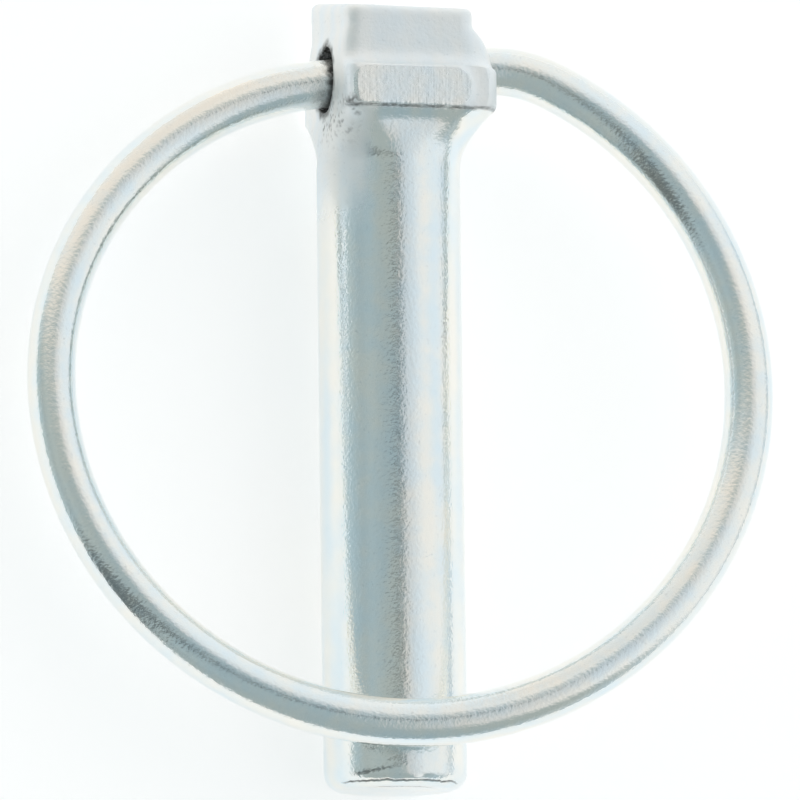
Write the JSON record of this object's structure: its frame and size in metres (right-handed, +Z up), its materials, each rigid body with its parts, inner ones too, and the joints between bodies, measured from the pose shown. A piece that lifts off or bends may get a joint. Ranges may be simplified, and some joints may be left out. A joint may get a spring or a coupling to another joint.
{
  "type": "linch pin",
  "caption": "Latch pin with a forged block head and a hinged spring wire ring that closes over the shank.",
  "frame": {"origin": "centre of the base, on the surface the part lies on", "axes": "+Y along the shank towards the head, +Z up from the surface, with the closed ring on the upper side"},
  "size_m": [0.0568, 0.0616, 0.0164],
  "materials": {
    "plated_forging": "bright zinc plate over forged steel",
    "plated_wire": "bright zinc plate over drawn spring wire"
  },
  "bodies": {
    "pin": {"forged_pin": "plated_forging"},
    "ring": {"spring_ring": "plated_wire"}
  },
  "joints": [
    {"name": "ring_pivot", "type": "hinge", "parent": "pin", "child": "ring", "pos_m": [0.00016, 0.02408, 0.00696], "axis": [-0.9885, -0.0872, -0.1239], "range_deg": [0, 343.2]}
  ]
}
